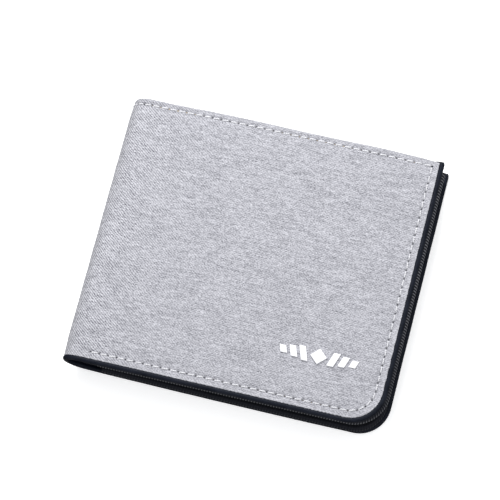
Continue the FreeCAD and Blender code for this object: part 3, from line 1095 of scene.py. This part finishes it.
def window_loop(offset):
    """Anticlockwise outline of the window, grown by offset."""
    loop = []
    for quarter, (sign_t, sign_v) in enumerate(((1, 1), (-1, 1), (-1, -1), (1, -1))):
        middle_t = WINDOW_CENTRE[0] + sign_t * (WINDOW_SIZE[0] / 2 - WINDOW_R)
        middle_v = WINDOW_CENTRE[1] + sign_v * (WINDOW_SIZE[1] / 2 - WINDOW_R)
        for k in range(9):
            angle = math.pi / 2 * (quarter + k / 8)
            reach = WINDOW_R + offset
            loop.append((middle_t + reach * math.cos(angle), middle_v + reach * math.sin(angle)))
    return loop


def window_distance(t, v):
    """Distance outwards from the window's edge."""
    dt = np.abs(t - WINDOW_CENTRE[0]) - WINDOW_SIZE[0] / 2 + WINDOW_R
    dv = np.abs(v - WINDOW_CENTRE[1]) - WINDOW_SIZE[1] / 2 + WINDOW_R
    outside = np.hypot(np.maximum(dt, 0), np.maximum(dv, 0))
    return outside + np.minimum(np.maximum(dt, dv), 0) - WINDOW_R


def build_rear_panel():
    base = pocket("rear_panel_sheet", "rear", 0, BASE_DEPTH, PANEL_TOP, ["rear_panel_base"], 0.4)
    card_depth, card_top = node_depth("rear", "rear_card_pocket"), high("rear_card_pocket", "y")
    card = pocket("rear_pocket_sheet", "rear", 1, card_depth, card_top, ["rear_card_pocket"])
    film_depth, top = node_depth("rear", "rear_window_film"), high("rear_window_film", "y")
    film = (FILM, "clear_film")
    pocket("rear_window_sheet", "rear", 1.6, film_depth, top, ["rear_window_film"], 0.15, film)
    frame_depth = node_depth("rear", "rear_window_frame")
    outline = panel_outline("rear", top)
    face = pocket_depth("rear", 2.3, frame_depth, top)

    def visible(t, v):
        beyond = window_distance(t, v)
        return face(t, v) - 0.12 * bump_at(beyond - 1.6, 0.35) - 0.05 * bump_at(beyond, 0.8)

    def edge(t, v):
        outer = np.minimum(pocket_inset(outline, t, v), top - v)
        return np.minimum(outer, window_distance(t, v))

    offsets = [0, 0.06, 0.2, 0.6, 1.1, 1.6, 2.1, 2.5]
    loops = [window_loop(offset) for offset in offsets]
    net = pocket_net("rear", top, [loops[-1]])
    net.rows([loop + loop[:1] for loop in reversed(loops)])
    piece = sheet(
        "rear_window_border", net, "rear", plain_point,
        lambda t, v: 0.3 - visible(t, v), lambda t, v: -visible(t, v), edge, POCKET_LEATHER)
    carry(piece, "rear")
    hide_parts("rear_window_frame", "rear_pocket_welts")
    panel_seam("rear", [(top, visible), (card_top, card), (PANEL_TOP, base)])


# Badge.


def build_badge():
    """The frame's badge with softened edges and its foot sunk into the cloth."""
    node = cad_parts["front_badge"]
    shell = bmesh.new()
    shell.from_mesh(node.data)
    bmesh.ops.transform(shell, matrix=node.matrix_world, verts=shell.verts)
    bmesh.ops.remove_doubles(shell, verts=shell.verts, dist=0.001 * MM)
    bmesh.ops.dissolve_limit(shell, angle_limit=0.02, verts=shell.verts, edges=shell.edges)
    middle = (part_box("front_badge")[0].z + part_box("front_badge")[1].z) / 2
    feet = [vert for vert in shell.verts if vert.co.z < middle]
    bmesh.ops.translate(shell, verts=feet, vec=(0, 0, -0.35 * MM))
    bmesh.ops.bevel(
        shell, geom=list(shell.edges), offset=0.15 * MM, segments=3, affect="EDGES", profile=0.6)
    mesh = bpy.data.meshes.new("front_ornament")
    shell.to_mesh(mesh)
    shell.free()
    mesh.polygons.foreach_set("use_smooth", np.ones(len(mesh.polygons), bool))
    mesh.materials.append(BADGE)
    piece = put("front_ornament", mesh)
    carry(piece, "front")
    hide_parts("front_badge")


def dress_boards():
    """The boards keep their CAD shape."""
    for side in SIDES:
        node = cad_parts[side + "_cover_board"]
        node.data.materials.clear()
        node.data.materials.append(BOARD)


# Studio.


def area_light(name, place, size, power):
    """A square soft light aimed at the origin."""
    data = bpy.data.lights.new(name, "AREA")
    data.size = size * MM
    data.energy = power
    lamp = put(name, data)
    lamp.location = Vector(place) * MM
    lamp.rotation_euler = Vector(place).to_track_quat("Z", "Y").to_euler()


def build_floor():
    """A pale table that glows a little, so that shadows on it stay faint."""
    mesh = bpy.data.meshes.new("floor")
    half = 3000 * MM
    level = -0.08 * MM
    corners = [(x * half, y * half, level) for x, y in ((-1, -1), (1, -1), (1, 1), (-1, 1))]
    mesh.from_pydata(corners, [], [(0, 1, 2, 3)])
    m = new_material("floor")
    cloud = m.noise(m.add("TexCoord", {})[3], 8, 2)
    colour = m.mix(cloud, (0.93, 0.93, 0.93), (0.96, 0.96, 0.96))
    mesh.materials.append(m.finish(colour, 0.9, Emission_Color=colour, Emission_Strength=0.45))
    floor = put("floor", mesh)
    floor.visible_diffuse = False
    floor.visible_glossy = False


def build_light():
    """Light that falls off towards the floor. The camera sees a white backdrop."""
    world = bpy.data.worlds.new("studio")
    sky = Shader(world)
    height = sky.split(sky.add("TexCoord", {})["Generated"])[2]
    brightness = sky.between(height, -0.1, 0.8, 0.12, 0.85)
    camera_ray = sky.add("LightPath", {})["Is Camera Ray"]
    background = world.node_tree.nodes["Background"]
    sky.set(background, "Strength", sky.math("MAXIMUM", brightness, camera_ray))
    sky.set(background, "Color", (0.97, 0.98, 1.0, 1))
    bpy.context.scene.world = world
    area_light("key", (-200, 420, 480), 400, 4.6)
    area_light("fill", (600, -300, 700), 600, 1.5)


CAMERA_AZIMUTH = 39.19
CAMERA_ELEVATION = 74.12
CAMERA_ROLL = -25.4
CAMERA_DISTANCE = 815
CAMERA_AIM = (-3.3, 4.7, 8.0)
FOCAL_LENGTH = 165.6


def build_camera():
    data = bpy.data.cameras.new("camera")
    data.sensor_width = 36
    data.lens = FOCAL_LENGTH
    data.clip_start, data.clip_end = 10 * MM, 20
    camera = put("camera", data)
    azimuth, elevation = math.radians(CAMERA_AZIMUTH), math.radians(CAMERA_ELEVATION)
    flat = math.cos(elevation)
    back = Vector((math.sin(azimuth) * flat, -math.cos(azimuth) * flat, math.sin(elevation)))
    roll_turn = Matrix.Rotation(math.radians(CAMERA_ROLL), 4, "Z")
    place = Matrix.Translation((Vector(CAMERA_AIM) + back * CAMERA_DISTANCE) * MM)
    camera.matrix_world = place @ back.to_track_quat("Z", "Y").to_matrix().to_4x4() @ roll_turn
    bpy.context.scene.camera = camera


for side in SIDES:
    build_canvas(side)
    build_lip(side)
    build_rim(side)
    build_linings(side)
build_front_panel()
build_rear_panel()
build_badge()
dress_boards()
build_floor()
build_light()
build_camera()
bpy.context.scene.view_settings.view_transform = "Standard"
